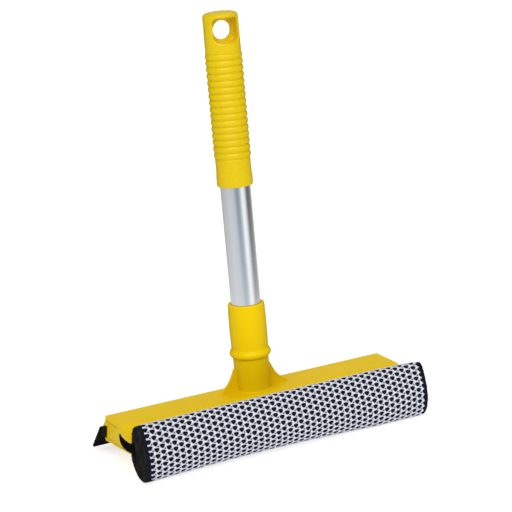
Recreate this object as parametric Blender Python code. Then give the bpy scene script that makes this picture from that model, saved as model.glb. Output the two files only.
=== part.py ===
"""Window squeegee: a moulded head with a rubber blade and a netted foam pad, on a screw-in handle.

World frame, in metres: X runs along the head, +Y towards the blade, +Z up the handle. The origin
lies on the surface that the tool stands on, below the centre of its bounding box.
"""
import math

import bmesh
import bpy
from mathutils import Vector

MM = 0.001

# ---- Driving dimensions, millimetres --------------------------------------------------------
# The head's section is drawn in (f, d): f runs forward from the top face's rear edge and d runs
# down from the top face. The pad and the blade use the same section coordinates.
HEAD_LENGTH = 258.0
TOP_HEIGHT = 36.8            # top face above the standing surface
REAR_EDGE_Y = 27.3           # the top face's rear edge in the world frame
TOP_WIDTH = 33.2             # top face, rear edge to front edge
END_RECESS = 1.1             # the end walls sit this far under the top skin's ends
SKIN = 3.8                   # thickness of the top plate

HANDLE_F = 15.3              # the handle's axis, in section coordinates

SOCKET_RADIUS = 15.0
SOCKET_HEIGHT = 28.1         # all heights on the handle are above the top face
GUSSET_THICKNESS = 3.0

THREAD_PITCH = 5.0
THREAD_DEPTH = 1.4
STUD_MINOR_RADIUS = 9.8
THREAD_CLEARANCE = 0.5
STUD_LOW = 4.0
SOCKET_FLOOR = 2.5
THREAD_SIDES = 32
THREAD_ROWS_PER_PITCH = 6

POCKET_COUNT = 4             # moulding pockets under the head
POCKET_WALL = 2.4
POCKET_REAR_F = (1.6, -1.9)  # a pocket's rear wall slants from the first to the second
POCKET_SLANT_LOW = 16.0      # down to this depth
POCKET_FRONT_F = 23.8
POCKET_MOUTH = 30.0          # depth of the cutter, past the underside

BLADE_OVERHANG = 3.0         # blade past each end of the head

PAD_LENGTH = 258.0
NET_THICKNESS = 0.6
GAP = 0.3                    # clearance between faces that touch on the real tool
NET_BARE = 4.0               # bare foam past each edge of the net
STRIP_END_INSET = 0.4
NECK_TOP = 9.4               # the net and the foam's back leave these depths to the strip
NECK_LOW = 19.4
NECK_SIDE_F = 62.0           # the pad's side towards the head lies behind this
STRIP_NECK = (10.0, 18.3)    # depths of the strip's neck and of the T-bar in the foam
TBAR_SPAN = (7.4, 22.9)
TBAR_F = 60.0
TBAR_THICKNESS = 2.6

FERRULE_BOTTOM = 28.4
BEAD_HEIGHT = 7.0
BEAD_RADIUS = 17.45
FERRULE_TOP = 74.7
FERRULE_SEAT = 41.0          # floor of the groove that takes the tube
SPIGOT_TOP = 62.0
SPIGOT_RADIUS = 11.1
SPIGOT_BORE = 8.0

TUBE_RADIUS = 12.5
TUBE_WALL = 1.1
TUBE_LOW = FERRULE_SEAT + GAP
TUBE_HIGH = 282.0

GRIP_BOTTOM = 174.6
GRIP_TOP = 318.5
GRIP_BORE_TOP = 282.5
RIB_COUNT = 16
RIB_LOW = 197.0
RIB_HIGH = 284.7
RIB_RADIUS = 15.3
GROOVE_RADIUS = 14.55
CAP_RADIUS = 14.4
RIM_RADIUS = 14.9
POINTS_PER_RIB = 4

HOLE_RADIUS = 7.9
HOLE_HEIGHT = 303.5
WEB_HALF = 1.25
RECESS_HALF_WIDTH = 10.5
RECESS_LOW = 293.8
RECESS_HIGH = 313.6

ROUND_SIDES = 36
ARC_STEP = math.radians(20)

HANDLE_Y = REAR_EDGE_Y - HANDLE_F
HALF_HEAD = HEAD_LENGTH / 2


# ---- Outline helpers ------------------------------------------------------------------------
def filleted(corners):
    """Closed outline from (a, b, radius) corners, with every rounded corner drawn as an arc."""
    outline = []
    count = len(corners)
    for index, (a, b, radius) in enumerate(corners):
        corner = Vector((a, b))
        if radius == 0:
            outline.append(corner)
            continue
        before = (Vector(corners[index - 1][:2]) - corner).normalized()
        after = (Vector(corners[(index + 1) % count][:2]) - corner).normalized()
        half_angle = before.angle(after) / 2
        reach = radius / math.tan(half_angle)
        centre = corner + (before + after).normalized() * (radius / math.sin(half_angle))
        start = corner + before * reach - centre
        finish = corner + after * reach - centre
        turn = start.angle_signed(finish)
        steps = max(1, math.ceil(abs(turn) / ARC_STEP))
        base = math.atan2(start.y, start.x)
        for step in range(steps + 1):
            angle = base - turn * step / steps
            outline.append(centre + radius * Vector((math.cos(angle), math.sin(angle))))
    return outline


def smooth_loop(points, steps):
    """Closed Catmull-Rom curve through the points, with the given steps between neighbours."""
    loop = []
    count = len(points)
    for index in range(count):
        p0, p1, p2, p3 = (Vector(points[(index + k - 1) % count]) for k in range(4))
        for step in range(steps):
            t = step / steps
            loop.append(0.5 * (2 * p1 + (p2 - p0) * t + (2 * p0 - 5 * p1 + 4 * p2 - p3) * t * t
                               + (3 * p1 - p0 - 3 * p2 + p3) * t ** 3))
    return loop


def offset_loop(loop, distance):
    """The closed loop moved by the distance to its left, which is inward on the pad's section."""
    moved = []
    count = len(loop)
    for index, point in enumerate(loop):
        along = (loop[(index + 1) % count] - loop[index - 1]).normalized()
        moved.append(point + Vector((-along.y, along.x)) * distance)
    return moved


def arc_through(start, middle, end, steps):
    """Points on the circular arc from start through middle to end."""
    a, b, c = Vector(start), Vector(middle), Vector(end)
    scale = 2 * (a.x * (b.y - c.y) + b.x * (c.y - a.y) + c.x * (a.y - b.y))
    centre = Vector(((a.length_squared * (b.y - c.y) + b.length_squared * (c.y - a.y)
                      + c.length_squared * (a.y - b.y)) / scale,
                     (a.length_squared * (c.x - b.x) + b.length_squared * (a.x - c.x)
                      + c.length_squared * (b.x - a.x)) / scale))
    radius = (a - centre).length
    first = math.atan2(a.y - centre.y, a.x - centre.x)
    last = math.atan2(c.y - centre.y, c.x - centre.x)
    turn = (last - first + math.pi) % (2 * math.pi) - math.pi
    return [centre + radius * Vector((math.cos(first + turn * k / steps),
                                      math.sin(first + turn * k / steps)))
            for k in range(steps + 1)]


# ---- Mesh helpers ---------------------------------------------------------------------------
def finish_mesh(name, bm, material, sharp_angle=35):
    """Turns a bmesh into an object with outward faces, smooth shading and its material."""
    bmesh.ops.recalc_face_normals(bm, faces=bm.faces)
    mesh = bpy.data.meshes.new(name)
    bm.to_mesh(mesh)
    bm.free()
    mesh.shade_smooth()
    mesh.set_sharp_from_angle(angle=math.radians(sharp_angle))
    if material:
        mesh.materials.append(material)
    obj = bpy.data.objects.new(name, mesh)
    bpy.context.scene.collection.objects.link(obj)
    return obj


def prism(name, outline, low, high, material=None):
    """Solid along X between low and high, from an (f, d) section outline."""
    bm = bmesh.new()
    face = bm.faces.new([bm.verts.new((low * MM, (REAR_EDGE_Y - p[0]) * MM, (TOP_HEIGHT - p[1]) * MM))
                         for p in outline])
    grown = bmesh.ops.extrude_face_region(bm, geom=[face])
    moved = [item for item in grown["geom"] if isinstance(item, bmesh.types.BMVert)]
    bmesh.ops.translate(bm, verts=moved, vec=((high - low) * MM, 0, 0))
    return finish_mesh(name, bm, material)


def plate(name, outline, y_low, y_high, origin=(0, 0, 0)):
    """Solid along Y between y_low and y_high, from an (x, z) outline above the top face."""
    bm = bmesh.new()
    face = bm.faces.new([bm.verts.new((p[0] * MM, y_low * MM, p[1] * MM)) for p in outline])
    grown = bmesh.ops.extrude_face_region(bm, geom=[face])
    moved = [item for item in grown["geom"] if isinstance(item, bmesh.types.BMVert)]
    bmesh.ops.translate(bm, verts=moved, vec=(0, (y_high - y_low) * MM, 0))
    obj = finish_mesh(name, bm, None)
    obj.location = origin
    return obj


def turned(name, profile, material=None, sides=ROUND_SIDES, closed=False):
    """Solid turned about the local Z axis from (radius, height) points, placed on the handle axis."""
    bm = bmesh.new()
    verts = [bm.verts.new((r * MM, 0, z * MM)) for r, z in profile]
    edges = [bm.edges.new(pair) for pair in zip(verts, verts[1:])]
    if closed:
        edges.append(bm.edges.new((verts[-1], verts[0])))
    bmesh.ops.spin(bm, geom=verts + edges, axis=(0, 0, 1), cent=(0, 0, 0),
                   angle=2 * math.pi, steps=sides, use_merge=True)
    bmesh.ops.remove_doubles(bm, verts=bm.verts, dist=1e-6)
    obj = finish_mesh(name, bm, material)
    obj.location = handle_origin()
    return obj


def threaded(name, radius_at, low, high):
    """Closed solid whose radius follows radius_at(angle, height), for a stud or a tapped hole."""
    bm = bmesh.new()
    rows = math.ceil((high - low) / THREAD_PITCH * THREAD_ROWS_PER_PITCH)
    rings = []
    for row in range(rows + 1):
        z = low + (high - low) * row / rows
        ring = []
        for side in range(THREAD_SIDES):
            angle = 2 * math.pi * side / THREAD_SIDES
            r = radius_at(angle, z)
            ring.append(bm.verts.new((r * math.cos(angle) * MM, r * math.sin(angle) * MM, z * MM)))
        rings.append(ring)
    for lower, upper in zip(rings, rings[1:]):
        for side in range(THREAD_SIDES):
            after = (side + 1) % THREAD_SIDES
            bm.faces.new((lower[side], lower[after], upper[after], upper[side]))
    bm.faces.new(rings[0])
    bm.faces.new(rings[-1])
    obj = finish_mesh(name, bm, None)
    obj.location = handle_origin()
    return obj


def boolean(target, tool, operation):
    """Adds a Boolean to the target and leaves its tool out of the model."""
    modifier = target.modifiers.new(operation.lower() + "_" + tool.name, "BOOLEAN")
    modifier.operation = operation
    modifier.solver = "EXACT"
    modifier.object = tool
    tool.hide_render = True
    tool.display_type = "WIRE"


def handle_origin():
    """The point where the handle's axis meets the head's top face."""
    return (0, HANDLE_Y * MM, TOP_HEIGHT * MM)


def make_material(name, colour, roughness, metallic=0.0):
    material = bpy.data.materials.new(name)
    material.use_nodes = True
    shader = material.node_tree.nodes["Principled BSDF"]
    shader.inputs["Base Color"].default_value = (*colour, 1)
    shader.inputs["Roughness"].default_value = roughness
    shader.inputs["Metallic"].default_value = metallic
    return material


# ---- Thread ---------------------------------------------------------------------------------
def thread_wave(angle, z):
    """1 on the crest of the right-hand helix and 0 in its root."""
    return 0.5 + 0.5 * math.cos(2 * math.pi * z / THREAD_PITCH - angle)


def ramp(value, start, end):
    return min(1.0, max(0.0, (value - start) / (end - start)))


def stud_radius(angle, z):
    """The handle's male thread, which fades in at its tip and out below the collar."""
    lead_in = ramp(z, STUD_LOW + 1.0, STUD_LOW + 3.5)
    run_out = ramp(z, FERRULE_BOTTOM - 1.5, FERRULE_BOTTOM - 3.5)
    tip = 0.8 * (1 - ramp(z, STUD_LOW, STUD_LOW + 1.0))
    return STUD_MINOR_RADIUS - tip + THREAD_DEPTH * thread_wave(angle, z) * lead_in * run_out


def socket_bore_radius(angle, z):
    """The head's tapped hole, open at its mouth."""
    minor = STUD_MINOR_RADIUS + THREAD_CLEARANCE
    depth = THREAD_DEPTH * thread_wave(angle, z) * ramp(z, STUD_LOW - 0.5, STUD_LOW + 0.5)
    mouth = THREAD_DEPTH * ramp(z, SOCKET_HEIGHT - 1.8, SOCKET_HEIGHT - 0.2)
    return minor + max(depth, mouth)


# ---- Head -----------------------------------------------------------------------------------
def head_skin_outline():
    """Top plate with the front lip over the pad's slot and the rear lip over the blade."""
    return filleted([
        (0, 0, 0.8), (TOP_WIDTH, 0, 1.2), (39.5, 1.6, 6), (48, 4.6, 12), (55.2, 7.6, 0.5),
        (54.7, 8.9, 0.5), (50, 9.8, 4), (42, 9.8, 10), (34.8, 8.8, 4), (31.4, 6.9, 0.8),
        (28.2, 7.3, 0), (27.0, 6.0, 0), (26.0, SKIN, 0), (3.5, SKIN, 0), (2.0, 8.0, 0),
        (0.4, 9.1, 0), (-5.6, 10.4, 0.3), (-6.5, 11.2, 0.3), (-7.3, 10.2, 0.4), (-1.0, SKIN, 1.5)])


def head_body_outline():
    """The box under the skin, with the slot for the pad's strip and the jaw under the blade."""
    return filleted([
        (0.8, 2.0, 0), (29.6, 2.0, 0), (30.0, 6.2, 0), (28.75, 7.2, 0.5), (26.6, 10.5, 2.5),
        (27.4, 14.6, 3), (29.5, 17.2, 3), (34, 18.9, 4), (41.5, 19.3, 0), (51, 18.8, 0.3),
        (51.2, 20.3, 0.5), (-6.9, 24.3, 1.2), (-9.7, 22.6, 0.6), (-8.6, 20.2, 0.35),
        (-7.6, 20.9, 0.3), (-4.3, 20.3, 0.4), (-1.15, 9.0, 0), (0.8, 6.0, 0)])


def gusset(name, side):
    """Concave web between the socket and the top plate; side is -1 or +1 along X."""
    curve = arc_through((16.8, 19.4), (21.8, 9.6), (32.3, 0.4), 6)
    outline = [Vector((12.0, -SKIN / 2)), Vector((12.0, 19.6)), Vector((16.4, 19.6))]
    outline += curve + [Vector((32.4, -SKIN / 2))]
    outline = [Vector((side * p.x, p.y)) for p in outline]
    return plate(name, outline, -GUSSET_THICKNESS / 2, GUSSET_THICKNESS / 2, handle_origin())


def make_head(material):
    inner = HALF_HEAD - END_RECESS
    head = prism("head", head_skin_outline(), -HALF_HEAD, HALF_HEAD, material)
    boolean(head, prism("head_box_tool", head_body_outline(), -inner, inner), "UNION")
    socket = turned("head_socket_tool",
                    [(0, SOCKET_HEIGHT), (SOCKET_RADIUS - 0.6, SOCKET_HEIGHT),
                     (SOCKET_RADIUS, SOCKET_HEIGHT - 0.6), (SOCKET_RADIUS, -SKIN / 2), (0, -SKIN / 2)])
    boolean(head, socket, "UNION")
    for name, side in (("left", -1), ("right", 1)):
        boolean(head, gusset("head_gusset_tool_" + name, side), "UNION")
    bore = threaded("head_bore_tool", socket_bore_radius, SOCKET_FLOOR, SOCKET_HEIGHT + 1)
    boolean(head, bore, "DIFFERENCE")

    # Open pockets in the underside leave a wall round the box and a rib between neighbours.
    pitch = (HEAD_LENGTH - 2 * END_RECESS - POCKET_WALL) / POCKET_COUNT
    rear_top, rear_low = POCKET_REAR_F
    section = [(rear_top, SKIN), (POCKET_FRONT_F, SKIN), (POCKET_FRONT_F, POCKET_MOUTH),
               (rear_low, POCKET_MOUTH), (rear_low, POCKET_SLANT_LOW)]
    for index in range(POCKET_COUNT):
        low = -inner + POCKET_WALL + index * pitch
        pocket = prism("head_pocket_tool_%d" % index, section, low, low + pitch - POCKET_WALL)
        boolean(head, pocket, "DIFFERENCE")
    return head


# ---- Blade ----------------------------------------------------------------------------------
def make_blade(material):
    """Rubber wiper: a foot in the head's channel and a lip that tapers to the wiping edge."""
    outline = filleted([
        (-7.55, 10.95, 0.2), (-6.55, 11.75, 0.2), (-5.3, 10.8, 0.3), (-1.75, 9.95, 0.6),
        (-4.65, 19.75, 0.6), (-7.25, 20.35, 0.3), (-8.55, 19.55, 0.3), (-10.3, 21.4, 0.5),
        (-29.2, 35.2, 0), (-30.6, 33.8, 0)])
    reach = HALF_HEAD + BLADE_OVERHANG
    return prism("blade", outline, -reach, reach, material)


# ---- Pad ------------------------------------------------------------------------------------
def pad_loop():
    """The pad's outer section: a pear-shaped oval, flat where it stands on the surface."""
    loop = smooth_loop([
        (70.8, -10.5), (75.8, -7.6), (80.2, 0.8), (83.8, 9.5), (85.2, 18.5), (84.3, 27.2),
        (80.4, 34.0), (74.2, 37.3), (67.2, 36.9), (60.0, 33.7), (54.2, 27.7), (51.8, 20.5),
        (53.6, 13.0), (56.2, 5.8), (58.2, -1.6), (62.8, -7.3)], 3)
    return [Vector((p.x, min(p.y, TOP_HEIGHT))) for p in loop]


def neck_side_split(loop):
    """The loop cut open at the neck, as a path that starts above it and ends below it."""
    inside = [p.x < NECK_SIDE_F and NECK_TOP < p.y < NECK_LOW for p in loop]
    first = next(i for i in range(len(loop)) if inside[i - 1] and not inside[i])
    order = list(range(first, len(loop))) + list(range(first))
    return [loop[i] for i in order if not inside[i]]


def make_foam(material):
    """Foam body with a T-slot in its back for the strip."""
    path = neck_side_split(offset_loop(pad_loop(), NET_THICKNESS + GAP))
    back = TBAR_F - GAP
    front = TBAR_F + TBAR_THICKNESS + GAP
    top, low = STRIP_NECK[0] - GAP, STRIP_NECK[1] + GAP
    bar_top, bar_low = TBAR_SPAN[0] - GAP, TBAR_SPAN[1] + GAP
    slot = [(path[-1].x, low), (back, low), (back, bar_low), (front, bar_low), (front, bar_top),
            (back, bar_top), (back, top), (path[0].x, top)]
    outline = path + [Vector(p) for p in slot]
    return prism("pad_foam", outline, -PAD_LENGTH / 2, PAD_LENGTH / 2, material)


def make_net(material):
    """Netting sleeve round the foam, open along the neck."""
    outer = pad_loop()
    inner = offset_loop(outer, NET_THICKNESS)
    outline = neck_side_split(outer) + neck_side_split(inner)[::-1]
    low = -PAD_LENGTH / 2 + NET_BARE
    high = PAD_LENGTH / 2 - NET_BARE
    return prism("pad_net", outline, low, high, material)


def make_strip(material):
    """Hooked rubber strip: a bead curled into the head's slot, a neck and a T-bar in the foam."""
    neck_top, neck_low = STRIP_NECK
    bar_top, bar_low = TBAR_SPAN
    bar_front = TBAR_F + TBAR_THICKNESS
    outline = filleted([
        (31.4, 7.35, 0.4), (34.6, 9.3, 3), (42, 10.25, 8), (50, 10.25, 3), (55.4, neck_top, 0),
        (TBAR_F, neck_top, 0), (TBAR_F, bar_top, 0.4), (bar_front, bar_top, 0.4),
        (bar_front, bar_low, 0.4), (TBAR_F, bar_low, 0.4), (TBAR_F, neck_low, 0), (51, neck_low, 0),
        (41.5, 18.9, 0), (34.2, 18.5, 4), (29.9, 16.8, 3), (27.85, 14.5, 3), (27.05, 10.7, 2.3),
        (29.1, 7.7, 0.5)])
    half = PAD_LENGTH / 2 - STRIP_END_INSET
    return prism("pad_strip", outline, -half, half, material)


# ---- Handle ---------------------------------------------------------------------------------
def make_ferrule(material):
    """End fitting: collar over the tube, spigot inside it, stop bead and threaded stud."""
    bead_r = BEAD_HEIGHT / 2
    bead_z = FERRULE_BOTTOM + bead_r
    bead = [(BEAD_RADIUS - bead_r + bead_r * math.cos(a), bead_z + bead_r * math.sin(a))
            for a in (math.radians(60 - 20 * k) for k in range(8))]
    bore = TUBE_RADIUS + GAP
    core = STUD_MINOR_RADIUS - 0.8
    profile = [(0, FERRULE_SEAT - 3), (SPIGOT_BORE, FERRULE_SEAT - 3), (SPIGOT_BORE, SPIGOT_TOP),
               (SPIGOT_RADIUS - 0.8, SPIGOT_TOP), (SPIGOT_RADIUS, SPIGOT_TOP - 0.8),
               (SPIGOT_RADIUS, FERRULE_SEAT), (bore, FERRULE_SEAT), (bore, FERRULE_TOP - 0.8),
               (bore + 0.6, FERRULE_TOP), (14.4, FERRULE_TOP), (15.1, FERRULE_TOP - 0.6),
               (15.35, FERRULE_TOP - 1.8), (15.6, 66.5), (15.75, 59.0), (15.7, 46.0), (15.5, 37.5)]
    profile += bead + [(14.2, FERRULE_BOTTOM), (core, FERRULE_BOTTOM), (core, STUD_LOW + 3),
                       (0, STUD_LOW + 3)]
    ferrule = turned("ferrule", profile, material)
    stud = threaded("ferrule_stud_tool", stud_radius, STUD_LOW, FERRULE_BOTTOM + 1)
    boolean(ferrule, stud, "UNION")
    return ferrule


def make_tube(material):
    inner = TUBE_RADIUS - TUBE_WALL
    profile = [(TUBE_RADIUS, TUBE_HIGH), (TUBE_RADIUS, TUBE_LOW), (inner, TUBE_LOW), (inner, TUBE_HIGH)]
    return turned("tube", profile, material, closed=True)


def rib_points():
    """Rounded ribs from the top of the grip's ribbed stretch down to its last groove."""
    pitch = (RIB_HIGH - RIB_LOW) / RIB_COUNT
    points = []
    for index in range(RIB_COUNT * POINTS_PER_RIB + 1):
        phase = index / POINTS_PER_RIB
        swell = math.sqrt(abs(math.sin(math.pi * phase)))
        points.append((GROOVE_RADIUS + (RIB_RADIUS - GROOVE_RADIUS) * swell, RIB_HIGH - pitch * phase))
    return points


def make_grip(material):
    """Ribbed sleeve closed at the top, where a web between two recesses carries the hang hole."""
    bore = TUBE_RADIUS + GAP
    profile = [(0, GRIP_TOP), (7.0, GRIP_TOP - 0.3), (11.3, GRIP_TOP - 0.9), (13.0, GRIP_TOP - 1.6),
               (14.0, GRIP_TOP - 2.9), (CAP_RADIUS, GRIP_TOP - 5.0), (CAP_RADIUS + 0.2, RIB_HIGH + 1.0)]
    profile += rib_points()
    profile += [(CAP_RADIUS + 0.1, RIB_LOW - 1.2), (14.5, 188.5), (RIM_RADIUS, 182.0),
                (RIM_RADIUS, GRIP_BOTTOM + 1.2), (RIM_RADIUS - 0.9, GRIP_BOTTOM), (bore, GRIP_BOTTOM),
                (bore, GRIP_BORE_TOP), (0, GRIP_BORE_TOP)]
    grip = turned("grip", profile, material)
    recess = filleted([(-RECESS_HALF_WIDTH, RECESS_LOW, 5), (RECESS_HALF_WIDTH, RECESS_LOW, 5),
                       (RECESS_HALF_WIDTH, RECESS_HIGH, 3), (-RECESS_HALF_WIDTH, RECESS_HIGH, 3)])
    reach = CAP_RADIUS + 2
    boolean(grip, plate("grip_recess_tool_front", recess, -reach, -WEB_HALF, handle_origin()), "DIFFERENCE")
    boolean(grip, plate("grip_recess_tool_back", recess, WEB_HALF, reach, handle_origin()), "DIFFERENCE")
    circle = [Vector((HOLE_RADIUS * math.cos(a), HOLE_HEIGHT + HOLE_RADIUS * math.sin(a)))
              for a in (2 * math.pi * k / 28 for k in range(28))]
    boolean(grip, plate("grip_hole_tool", circle, -reach, reach, handle_origin()), "DIFFERENCE")
    return grip


def main():
    for obj in list(bpy.data.objects):
        bpy.data.objects.remove(obj, do_unlink=True)
    yellow = make_material("grip_yellow", (0.84, 0.63, 0.013), 0.38)
    bright_yellow = make_material("ferrule_yellow", (0.91, 0.63, 0.008), 0.32)
    mustard = make_material("head_mustard", (0.66, 0.47, 0.021), 0.5)
    rubber = make_material("black_rubber", (0.011, 0.011, 0.012), 0.55)
    strip_rubber = make_material("strip_rubber", (0.012, 0.012, 0.012), 0.6)
    foam = make_material("black_foam", (0.013, 0.012, 0.012), 0.95)
    netting = make_material("white_netting", (0.78, 0.78, 0.86), 0.8)
    aluminium = make_material("satin_aluminium", (0.78, 0.8, 0.83), 0.36, 1.0)

    make_head(mustard)
    make_blade(rubber)
    make_foam(foam)
    make_strip(strip_rubber)
    make_net(netting)
    make_ferrule(bright_yellow)
    make_tube(aluminium)
    make_grip(yellow)


main()
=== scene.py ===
"""Looks of the window squeegee: plastic, rubber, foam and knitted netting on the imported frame."""
import math

import bmesh
import bpy
from mathutils import Matrix, Vector, geometry, noise


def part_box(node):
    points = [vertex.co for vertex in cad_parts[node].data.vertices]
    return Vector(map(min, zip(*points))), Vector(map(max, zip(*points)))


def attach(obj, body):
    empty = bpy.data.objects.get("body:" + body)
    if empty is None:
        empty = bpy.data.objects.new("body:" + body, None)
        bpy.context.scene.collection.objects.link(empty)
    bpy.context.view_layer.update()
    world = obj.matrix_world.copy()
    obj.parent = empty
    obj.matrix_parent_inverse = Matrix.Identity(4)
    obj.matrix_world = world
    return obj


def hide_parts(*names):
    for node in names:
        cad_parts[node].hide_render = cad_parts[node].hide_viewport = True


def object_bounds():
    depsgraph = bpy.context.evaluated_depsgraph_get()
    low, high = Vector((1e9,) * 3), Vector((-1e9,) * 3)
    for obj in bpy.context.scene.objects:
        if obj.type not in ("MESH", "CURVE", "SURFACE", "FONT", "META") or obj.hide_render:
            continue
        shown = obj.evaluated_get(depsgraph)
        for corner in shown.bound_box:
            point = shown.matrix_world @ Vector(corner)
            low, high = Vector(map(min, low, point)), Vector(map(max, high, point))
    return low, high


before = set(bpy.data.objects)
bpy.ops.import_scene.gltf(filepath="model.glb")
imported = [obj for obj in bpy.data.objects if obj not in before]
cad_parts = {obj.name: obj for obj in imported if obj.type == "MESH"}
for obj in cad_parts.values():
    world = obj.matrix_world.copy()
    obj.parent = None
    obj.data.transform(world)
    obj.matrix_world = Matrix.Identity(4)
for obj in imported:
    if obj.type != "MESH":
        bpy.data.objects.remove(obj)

MM = 0.001

# ---- Places taken from the frame, in millimetres ----
# The head, the blade and the pad are drawn in a section (f, d): f runs forward from the rear edge
# of the head's top face and d runs down from that face. Heights on the handle are above it.
CAD_LOW, CAD_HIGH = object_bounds()


def node_range(node, axis):
    low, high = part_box(node)
    return low[axis] / MM, high[axis] / MM


SOCKET_HEIGHT = 28.1
HANDLE_F = 15.3
TOP_Z = node_range("head", 2)[1] - SOCKET_HEIGHT
HANDLE_Y = sum(node_range("tube", 1)) / 2
REAR_Y = HANDLE_Y + HANDLE_F
HEAD_X = node_range("head", 0)
BLADE_X = node_range("blade", 0)
FOAM_X = node_range("pad_foam", 0)
NET_X = node_range("pad_net", 0)
STRIP_X = node_range("pad_strip", 0)
TUBE_Z = node_range("tube", 2)
GRIP_LOW, GRIP_TOP = (z - TOP_Z for z in node_range("grip", 2))
FERRULE_LOW, FERRULE_TOP = (z - TOP_Z for z in node_range("ferrule", 2))

# ---- Dimensions of the details, in millimetres ----
NOISE_SEED = 1               # without one, Blender seeds noise_vector from the clock
ARC_STEP = math.radians(9)
ROUND_SIDES = 128
EDGE_STEPS = 3
SHARP_ANGLE = 32             # degrees; a softer edge is shaded smooth

HEAD_EDGE = 0.4
BOX_EDGE = 0.35
BOX_INSET = 1.1
SKIN = 3.8                   # thickness of the top plate
LEDGE_GROOVE = 0.6           # depth of the line under the top plate's two ends
LEDGE_SECTION = ((1.4, SKIN - 0.1), (27.2, SKIN - 0.1), (27.2, SKIN + 1.4), (1.4, SKIN + 1.4))
END_ROUND = 1.6              # the top plate's rounding at its two ends
END_ROUND_REACH = (-9, 40)
SOCKET_RADIUS = 15.0
SOCKET_GAP = 0.06            # between the socket's rim and the bead
SOCKET_RIM = 0.15
SOCKET_FILLET = 1.3
GUSSET_HALF = 1.5
GUSSET_EDGE = 0.45
GUSSET_HEIGHT = 19.6
RUBBER_EDGE = 0.25

THREAD_PITCH = 5.0
THREAD_DEPTH = 1.4
STUD_MINOR_RADIUS = 9.8
THREAD_CLEARANCE = 0.5
STUD_TIP = 0.8               # the stud narrows by this much at its tip
SOCKET_FLOOR = 2.5
COLLAR_FOOT = 28.4
THREAD_SIDES = 72
THREAD_ROWS = 14

POCKET_COUNT = 4
POCKET_WALL = 2.4
POCKET_CORNER = 0.8
POCKET_FLOOR = 30.0          # past the underside, so that the pocket is open

TUBE_RADIUS = 12.5
TUBE_BORE = 11.4
TUBE_EDGE = 0.25
FERRULE_SEAT = 41.0
SPIGOT_TOP = 62.0
BEAD_SECTION = 3.5
BEAD_RADIUS = 17.45
WAIST_H = 36.2               # where the collar meets the curve down to the bead
FIT = 0.06                   # play between the tube and the two plastic pieces on it

CAP_RADIUS = 14.4
GRIP_TURN = math.radians(-2.5)  # where the thread stops the grip in the photo
SKIRT_LOW = GRIP_LOW + 0.8   # the photo's grip ends a little higher than the CAD one
SKIRT_ROUND = 0.9
RIB_COUNT = 16
RIB_LOW, RIB_HIGH = 198.6, 285.4
RIB_RADIUS, GROOVE_RADIUS = 15.3, 14.15
RIB_ROUNDNESS = 0.8          # 1 is a plain wave, and less makes broader ribs
POINTS_PER_RIB = 16
BORE_TOP = 282.5
HOLE_RADIUS, HOLE_HEIGHT = 7.65, 303.5
HOLE_FLARE = 0.55
HOLE_SIDES = 72
WEB_HALF = 1.25
RECESS = [(-10.5, 293.8, 5), (10.5, 293.8, 5), (10.5, 313.6, 3), (-10.5, 313.6, 3)]
RECESS_LIP = 1.9
RECESS_FILLET = 2.0
RECESS_STEP = 0.8

FOAM_UNDER_NET = 0.47
FOAM_STEP = 2.0              # between the points round the section
FOAM_SPAN = 2.4              # between the sections
FOAM_CELL = 1.1              # between the points over a cut end
FOAM_JITTER = 0.35
FOAM_MARGIN = 0.7            # kept clear inside the outline
FOAM_EDGE = 0.9              # length of the rounding at a cut end
FOAM_ROUND = 0.55            # and its depth
FOAM_DENT = 0.12             # how far its skin dips on average
PAD_CENTRE = Vector((70.0, 14.0))
NECK_TOP, NECK_LOW = 9.4, 19.4
NECK_SIDE_F = 62.0
PAD_LIFT = 2.6               # the pad's underside bows up by this much
PAD_LIFT_X, PAD_LIFT_REACH = -22.0, 105.0
PAD_DROOP = 1.4              # its top sags by this much at the right end
PAD_SLANT = 1.6              # and its right end is cut out of square by this much at the top

# ---- Camera ----
CAMERA_AZIMUTH, CAMERA_ELEVATION = -24.65, 13.93
CAMERA_ROLL = math.radians(-5.05)
CAMERA_DISTANCE = 1.5446
CAMERA_LENS = 131.5
CAMERA_TARGET = Vector((0.0077, 0.0002, 0.1524))

# ---- Studio, in metres ----
FLOOR_REACH = 40.0
FLOOR_GAP = 0.0002
FLOOR_GLOW = 0.72
WORLD_LIGHT = 0.3
SUNS = (                      # name, azimuth, elevation, strength, spread, if it gleams
    ("key_left", -41, 42, 0.97, 36, True), ("key_right", -3, 42, 0.97, 36, True),
    ("top", -20, 80, 0.45, 80, True), ("back", 160, 35, 0.6, 60, False))
CROWN_SUN = ("crown", 155, 20, 1.5, 40, True)       # it reaches the grip alone
RING_STEPS = 180
RING_DISTANCE = 0.17
RING_ROWS = (                 # height, share of the pale tone, brightness
    (-0.8, 0.8, 1.0), (0.066, 0.7, 1.0), (0.080, 0.35, 1.0), (0.160, 0.0, 1.0), (0.2, 0.0, 0.9),
    (0.26, 0.0, 0.8), (0.8, 0.0, 0.8))
RING_PALE = (0.85, 0.86, 0.88)
RING_STOPS = (                # azimuth in degrees and colour; the camera is at -25
    (-180, (0.45, 0.45, 0.46)), (-120, (0.62, 0.63, 0.64)), (-85, (0.70, 0.72, 0.74)),
    (-50, (0.66, 0.70, 0.76)), (-16, (0.26, 0.36, 0.43)), (-6, (0.34, 0.43, 0.50)),
    (22, (1.15, 1.17, 1.20)), (34, (1.0, 1.0, 1.02)), (62, (0.16, 0.17, 0.18)),
    (84, (0.18, 0.19, 0.20)), (125, (0.55, 0.55, 0.56)), (180, (0.45, 0.45, 0.46)))


# ---- Outline helpers ----
def ramp(value, start, end):
    """0 at the start and 1 at the end, and straight between them."""
    return min(1.0, max(0.0, (value - start) / (end - start)))


def smooth_step(share):
    return share * share * (3 - 2 * share)


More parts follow.
